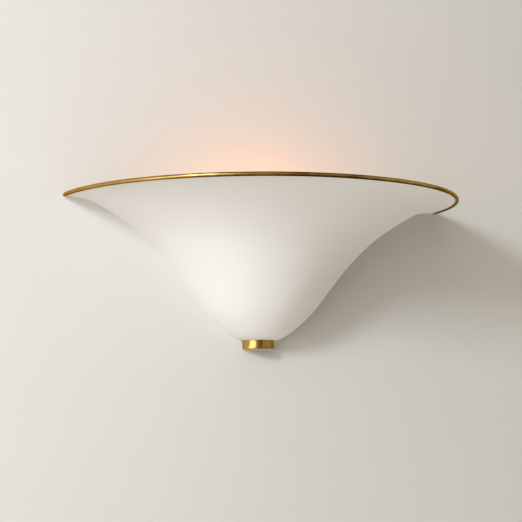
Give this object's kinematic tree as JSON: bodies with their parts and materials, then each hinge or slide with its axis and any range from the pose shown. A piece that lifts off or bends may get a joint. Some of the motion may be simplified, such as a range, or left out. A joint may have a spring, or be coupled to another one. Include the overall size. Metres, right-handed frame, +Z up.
{
  "type": "wall sconce",
  "caption": "Uplight wall sconce: flared half-bell shade, brass rod round its rim and a small brass finial, hung by keyholes on a wall strap.",
  "frame": {"origin": "on the wall, at the centre of the wall box that the strap is screwed to", "axes": "+X along the wall to the right, +Y into the wall, +Z up; the shade stands out along -Y"},
  "size_m": [0.505, 0.2524, 0.1848],
  "materials": {
    "shade_white": "smooth matte warm white powder coat",
    "rim_brass": "satin brass with age-darkened patches",
    "finial_brass": "polished brass",
    "plate_white": "white powder coat",
    "zinc_steel": "zinc-plated steel",
    "thumb_brass": "plain brass",
    "earth_green": "green passivated steel",
    "tinned_copper": "tinned copper",
    "grommet_rubber": "black rubber",
    "block_plastic": "moulded nylon",
    "porcelain": "white glazed porcelain",
    "contact_brass": "pressed brass",
    "lead_black": "silicone insulation",
    "lead_white": "silicone insulation",
    "lead_green": "silicone insulation",
    "frosted_glass": "frosted glass, lit warm",
    "lamp_base_metal": "rolled aluminium",
    "lamp_insulator": "black vitreous insulator",
    "lamp_contact": "solder",
    "clear_glass": "clear glass",
    "support_wire": "nickel wire",
    "filament_wire": "tungsten wire, lit"
  },
  "bodies": {
    "wall_bracket": {"wall_strap": "zinc_steel", "strap_studs": "zinc_steel", "stud_lock_nuts": "zinc_steel", "strap_earth_screw": "earth_green"},
    "left_nut": {"thumb_nut_left": "thumb_brass"},
    "right_nut": {"thumb_nut_right": "thumb_brass"},
    "lamp": {"bulb_glass": "frosted_glass", "bulb_screw_base": "lamp_base_metal", "bulb_insulator": "lamp_insulator", "bulb_contact": "lamp_contact", "bulb_stem": "clear_glass", "filament_supports": "support_wire", "bulb_filament": "filament_wire"},
    "fixture": {"shade_shell": "shade_white", "rim_trim": "rim_brass", "finial_cap": "finial_brass", "back_plate": "plate_white", "shade_tabs": "plate_white", "foot_bracket": "plate_white", "tab_screws": "zinc_steel", "foot_rivets": "zinc_steel", "finial_stud": "zinc_steel", "finial_washer": "zinc_steel", "finial_nut": "zinc_steel", "lamp_bracket": "zinc_steel", "bracket_rivets": "zinc_steel", "terminal_screws": "zinc_steel", "terminal_block_screws": "zinc_steel", "socket_fixing_screws": "zinc_steel", "socket_fixing_nuts": "zinc_steel", "earth_screw": "earth_green", "earth_ring": "tinned_copper", "cable_grommet": "grommet_rubber", "terminal_block": "block_plastic", "socket_body": "porcelain", "socket_screw_shell": "contact_brass", "socket_contact": "contact_brass", "socket_terminal_plates": "contact_brass", "socket_terminal_screws": "contact_brass", "live_lead": "lead_black", "neutral_lead": "lead_white", "earth_lead": "lead_green"}
  },
  "joints": [
    {"name": "fixture_lift", "type": "slide", "parent": "wall_bracket", "child": "fixture", "axis": [0, 0, 1], "range_m": [0, 0.009]},
    {"name": "lamp_unscrew", "type": "slide", "parent": "fixture", "child": "lamp", "axis": [0, 0, 1], "range_m": [0, 0.14]},
    {"name": "left_nut_turn", "type": "hinge", "parent": "wall_bracket", "child": "left_nut", "pos_m": [-0.058, 0, 0], "axis": [0, 1, 0], "continuous": true},
    {"name": "right_nut_turn", "type": "hinge", "parent": "wall_bracket", "child": "right_nut", "pos_m": [0.058, 0, 0], "axis": [0, 1, 0], "continuous": true}
  ]
}
